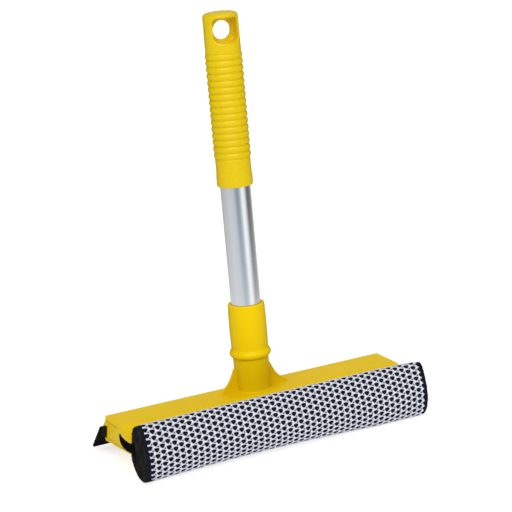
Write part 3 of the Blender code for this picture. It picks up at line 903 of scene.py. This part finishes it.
# ---- Materials ----
class Recipe:
    """A material whose Principled shader is fed by textures in the object's own space."""

    def __init__(self, name):
        self.material = bpy.data.materials.new(name)
        self.material.use_nodes = True
        self.tree = self.material.node_tree
        self.shader = self.tree.nodes["Principled BSDF"]
        self.coordinates = self.tree.nodes.new("ShaderNodeTexCoord").outputs["Object"]

    def set(self, **values):
        for name, value in values.items():
            self.shader.inputs[name.replace("_", " ")].default_value = value

    def feed(self, node, values):
        for name, value in values.items():
            if isinstance(value, bpy.types.NodeSocket):
                self.tree.links.new(value, node.inputs[name])
            else:
                node.inputs[name].default_value = value

    def node(self, kind, values, **settings):
        node = self.tree.nodes.new(kind)
        for name, value in settings.items():
            setattr(node, name, value)
        self.feed(node, values)
        return node

    def stretched(self, scale):
        """The object's coordinates, stretched by the scale."""
        values = {"Vector": self.coordinates, "Scale": scale}
        return self.node("ShaderNodeMapping", values).outputs[0]

    def noise(self, scale, detail, vector=None):
        return self.node("ShaderNodeTexNoise", {
            "Vector": vector or self.coordinates, "Scale": scale, "Detail": detail,
            "Roughness": 0.55}).outputs["Fac"]

    def voronoi(self, scale):
        values = {"Vector": self.coordinates, "Scale": scale}
        return self.node("ShaderNodeTexVoronoi", values).outputs["Distance"]

    def ramp(self, value, low, high, to_low=0.0, to_high=1.0):
        return self.node("ShaderNodeMapRange", {
            "Value": value, "From Min": low, "From Max": high, "To Min": to_low,
            "To Max": to_high}).outputs["Result"]

    def mix(self, factor, first, second):
        node = self.node("ShaderNodeMix", {}, data_type="RGBA")
        self.feed(node, {0: factor})
        for socket, colour in ((6, first), (7, second)):
            if isinstance(colour, bpy.types.NodeSocket):
                self.tree.links.new(colour, node.inputs[socket])
            else:
                node.inputs[socket].default_value = (*colour, 1)
        return node.outputs[2]

    def bump(self, height, distance, strength=1.0, normal=None):
        values = {"Height": height, "Distance": distance, "Strength": strength}
        if normal:
            values["Normal"] = normal
        return self.node("ShaderNodeBump", values).outputs["Normal"]

    def finish(self, colour, roughness, normal):
        self.feed(self.shader, {"Base Color": colour, "Roughness": roughness, "Normal": normal})
        return self.material


def moulded_plastic(name, colour, shade, roughness, grain, gloss, glint):
    """Injection-moulded plastic: slight colour flow, a lighter colour on sharp convex edges and a
    fine grain.
    """
    recipe = Recipe(name)
    recipe.set(IOR=1.48, Specular_IOR_Level=gloss, Specular_Tint=(*glint, 1))
    flow = recipe.ramp(recipe.noise(22, 2.0, recipe.stretched((1, 1, 0.5))), 0.3, 0.7)
    tone = recipe.mix(flow, shade, colour)
    # lighter colour where the surface is sharply convex, read from pointiness
    pointiness = recipe.node("ShaderNodeNewGeometry", {}).outputs["Pointiness"]
    edge = recipe.ramp(pointiness, 0.53, 0.62, 0.0, 0.35)
    lighter = tuple(min(1.0, c * 1.25 + 0.03) for c in colour)
    tone = recipe.mix(edge, tone, lighter)
    speck = recipe.ramp(recipe.noise(650, 2.0), 0.3, 0.7, roughness - 0.05, roughness + 0.07)
    fine = recipe.bump(recipe.noise(2600, 2.0), 0.00001 * grain, 0.6)
    normal = recipe.bump(recipe.noise(160, 2.0), 0.00012, 0.12, fine)
    return recipe.finish(tone, speck, normal)


def extruded_rubber(name, colour, dusty):
    """Black rubber with lines along its length and a little dust."""
    recipe = Recipe(name)
    recipe.set(IOR=1.5, Specular_IOR_Level=0.15)
    lines = recipe.noise(1.0, 3.0, recipe.stretched((12, 1500, 1500)))
    dust = recipe.ramp(recipe.noise(75, 5.0), 0.48, 0.75, 0.0, 0.5)
    tone = recipe.mix(dust, colour, dusty)
    rough = recipe.ramp(recipe.noise(300, 3.0), 0.3, 0.7, 0.5, 0.7)
    normal = recipe.bump(lines, 0.00005, 0.35)
    return recipe.finish(tone, rough, normal)


def cell_foam(name):
    """Open-cell foam: dark pores between thin walls, and browner where it was cut across."""
    recipe = Recipe(name)
    recipe.set(Specular_IOR_Level=0.08)
    cells = recipe.voronoi(950)
    walls = recipe.ramp(cells, 0.25, 0.75)
    tone = recipe.mix(walls, (0.005, 0.006, 0.010), (0.012, 0.014, 0.024))
    facing = recipe.node("ShaderNodeSeparateXYZ", {
        "Vector": recipe.node("ShaderNodeNewGeometry", {}).outputs["True Normal"]}).outputs["X"]
    across = recipe.node("ShaderNodeMath", {0: facing}, operation="ABSOLUTE").outputs[0]
    streaks = recipe.ramp(recipe.noise(1.0, 4.0, recipe.stretched((100, 260, 90))), 0.42, 0.68)
    cut = recipe.mix(streaks, (0.0120, 0.0115, 0.0110), (0.029, 0.0265, 0.025))
    tone = recipe.mix(recipe.ramp(across, 0.2, 0.6), tone, cut)
    coarse = recipe.bump(recipe.noise(380, 3.0), 0.0006, 0.5)
    normal = recipe.bump(cells, 0.0007, 0.8, coarse)
    return recipe.finish(tone, recipe.ramp(cells, 0.2, 0.8, 1.0, 0.85), normal)


def knitted_yarn(name):
    """White synthetic yarn with a twist: bright on its crests, and painted greyer as shade in its
    low parts and knots.
    """
    recipe = Recipe(name)
    recipe.set(Sheen_Weight=0.25, Sheen_Roughness=0.4, Specular_IOR_Level=0.35)
    crest = recipe.node("ShaderNodeAttribute", {}, attribute_name="crest").outputs["Fac"]
    # painted shade: the colour greys where the yarn's crest height is low, in its valleys and knots
    tone = recipe.mix(recipe.ramp(crest, 0.35, 0.95), (0.50, 0.51, 0.60), (0.715, 0.725, 0.83))
    fibres = recipe.noise(1.0, 2.0, recipe.stretched((900, 2600, 2600)))
    tone = recipe.mix(recipe.ramp(fibres, 0.3, 0.6, 0.18, 0.0), tone, (0.52, 0.53, 0.62))
    normal = recipe.bump(fibres, 0.00022, 0.6)
    rough = recipe.ramp(recipe.noise(700, 2.0), 0.3, 0.7, 0.55, 0.8)
    return recipe.finish(tone, rough, normal)


def drawn_aluminium(name):
    """Satin aluminium with fine draw lines along the tube."""
    recipe = Recipe(name)
    recipe.set(Metallic=1.0)
    lines = recipe.noise(1.0, 4.0, recipe.stretched((1800, 1800, 9)))
    bands = recipe.noise(1.0, 2.0, recipe.stretched((160, 160, 4)))
    tone = recipe.mix(recipe.ramp(bands, 0.3, 0.7), (0.79, 0.80, 0.81), (0.81, 0.815, 0.82))
    rough = recipe.ramp(lines, 0.25, 0.75, 0.17, 0.25)
    normal = recipe.bump(lines, 0.00001, 0.4)
    return recipe.finish(tone, rough, normal)


def floor_material():
    """White light table: mostly its own even glow, with a faint shadow on it."""
    recipe = Recipe("pale_floor")
    recipe.set(Emission_Color=(1, 1, 1, 1), Emission_Strength=FLOOR_GLOW, Specular_IOR_Level=0.1)
    recipe.material.cycles.emission_sampling = "NONE"
    tone = recipe.mix(recipe.noise(3, 2.0), (0.43, 0.43, 0.43), (0.45, 0.45, 0.45))
    normal = recipe.bump(recipe.noise(40, 2.0), 0.0002, 0.1)
    return recipe.finish(tone, recipe.ramp(recipe.noise(30, 2.0), 0.3, 0.7, 0.85, 0.95), normal)


# ---- Stage ----
def aim(azimuth, elevation):
    """Unit vector from the object; azimuth 0 is in front of it and 90 is to its right."""
    a, e = math.radians(azimuth), math.radians(elevation)
    return Vector((math.sin(a) * math.cos(e), -math.cos(a) * math.cos(e), math.sin(e)))


def make_camera():
    data = bpy.data.cameras.new("camera")
    data.lens = CAMERA_LENS
    data.clip_start, data.clip_end = 0.05, 100
    camera = added("camera", data)
    back = aim(CAMERA_AZIMUTH, CAMERA_ELEVATION)
    look = (-back).to_track_quat("-Z", "Y").to_matrix().to_4x4()
    place = Matrix.Translation(CAMERA_TARGET + back * CAMERA_DISTANCE)
    camera.matrix_world = place @ look @ Matrix.Rotation(CAMERA_ROLL, 4, "Z")
    bpy.context.scene.camera = camera


def light_only(source, pieces):
    """Let a light or a glowing panel reach these pieces and no others."""
    reached = bpy.data.collections.new(source.name + "_reaches")
    for piece in pieces:
        reached.objects.link(piece)
    source.light_linking.receiver_collection = reached


def soft_sun(name, azimuth, elevation, strength, spread, gleam):
    """Large soft source a long way off, so that its light doesn't fade over the floor."""
    data = bpy.data.lights.new(name, "SUN")
    data.energy = strength
    data.angle = math.radians(spread)
    light = added(name, data)
    light.rotation_euler = aim(azimuth, elevation).to_track_quat("Z", "Y").to_euler()
    light.visible_glossy = gleam
    return light


def make_reflections(shiny):
    """Ring of soft panels that only the shiny pieces reflect: the metal's streaks come from it."""
    bm = bmesh.new()
    glow = bm.verts.layers.float_color.new("glow")
    rows = []
    for height, pale, strength in RING_ROWS:
        row = []
        for k in range(RING_STEPS):
            azimuth = 360 * k / RING_STEPS - 180
            place = aim(azimuth, 0) * RING_DISTANCE
            vertex = bm.verts.new((place.x, HANDLE_Y * MM + place.y, height))
            tone = ring_glow(azimuth)
            paler = Vector(map(max, tone, tone.lerp(Vector(RING_PALE), pale)))
            vertex[glow] = (*(paler * strength), 1)
            row.append(vertex)
        rows.append(row)
    for low, high in zip(rows, rows[1:]):
        for k in range(RING_STEPS):
            after = (k + 1) % RING_STEPS
            bm.faces.new((low[k], low[after], high[after], high[k]))
    ring = new_object("reflection_ring", bm)
    recipe = Recipe("ring_glow")
    recipe.set(Base_Color=(0, 0, 0, 1), Emission_Strength=1.0, Specular_IOR_Level=0.0)
    colour = recipe.node("ShaderNodeAttribute", {}, attribute_name="glow").outputs["Color"]
    recipe.feed(recipe.shader, {"Emission Color": colour})
    recipe.material.cycles.emission_sampling = "NONE"
    ring.data.materials.append(recipe.material)
    for ray in ("camera", "diffuse", "shadow", "transmission"):
        setattr(ring, "visible_" + ray, False)
    light_only(ring, shiny)


def ring_glow(azimuth):
    """Colour of the panels at an azimuth, eased between the neighbouring stops."""
    for (start, first), (end, second) in zip(RING_STOPS, RING_STOPS[1:]):
        if azimuth <= end:
            return Vector(first).lerp(Vector(second), smooth_step(ramp(azimuth, start, end)))
    return Vector(RING_STOPS[-1][1])


def make_stage(head, tube, grip):
    bm = bmesh.new()
    bmesh.ops.create_grid(bm, x_segments=2, y_segments=2, size=FLOOR_REACH)
    bmesh.ops.translate(bm, verts=bm.verts, vec=(0, 0, CAD_LOW.z - FLOOR_GAP))
    floor = new_object("floor", bm)
    floor.data.materials.append(floor_material())
    floor.visible_glossy = False
    world = bpy.data.worlds.new("studio")
    bpy.context.scene.world = world
    world.use_nodes = True
    nodes, links = world.node_tree.nodes, world.node_tree.links
    background = nodes["Background"]
    background.inputs["Color"].default_value = (1, 1, 1, 1)
    seen = nodes.new("ShaderNodeMapRange")
    seen.inputs["To Min"].default_value = WORLD_LIGHT
    links.new(nodes.new("ShaderNodeLightPath").outputs["Is Camera Ray"], seen.inputs["Value"])
    links.new(seen.outputs["Result"], background.inputs["Strength"])
    world.cycles_visibility.glossy = False
    for sun in SUNS:
        soft_sun(*sun)
    light_only(soft_sun(*CROWN_SUN), [grip])
    make_reflections([head, tube])


def main():
    noise.seed_set(NOISE_SEED)
    bpy.context.scene.view_settings.view_transform = "Standard"
    make_camera()
    head = make_head(moulded_plastic("head_mustard", (0.77, 0.525, 0.002), (0.73, 0.49, 0.001),
                                     0.5, 3.0, 0.10, (1.0, 0.88, 0.35)))
    make_blade(extruded_rubber("blade_black", (0.0105, 0.0105, 0.0095), (0.026, 0.026, 0.023)))
    make_strip(extruded_rubber("strip_black", (0.0065, 0.006, 0.0055), (0.016, 0.015, 0.013)))
    make_foam(cell_foam("foam_black"))
    make_net(knitted_yarn("netting_white"))
    make_ferrule(moulded_plastic("ferrule_yellow", (0.87, 0.60, 0.0), (0.84, 0.575, 0.0),
                                 0.3, 1.0, 0.2, (1.0, 0.88, 0.4)))
    tube = make_tube(drawn_aluminium("tube_satin"))
    grip = make_grip(moulded_plastic("grip_yellow", (0.775, 0.555, 0.001), (0.745, 0.53, 0.001),
                                     0.29, 0.2, 0.48, (1.0, 0.95, 0.62)))
    make_stage(head, tube, grip)


main()
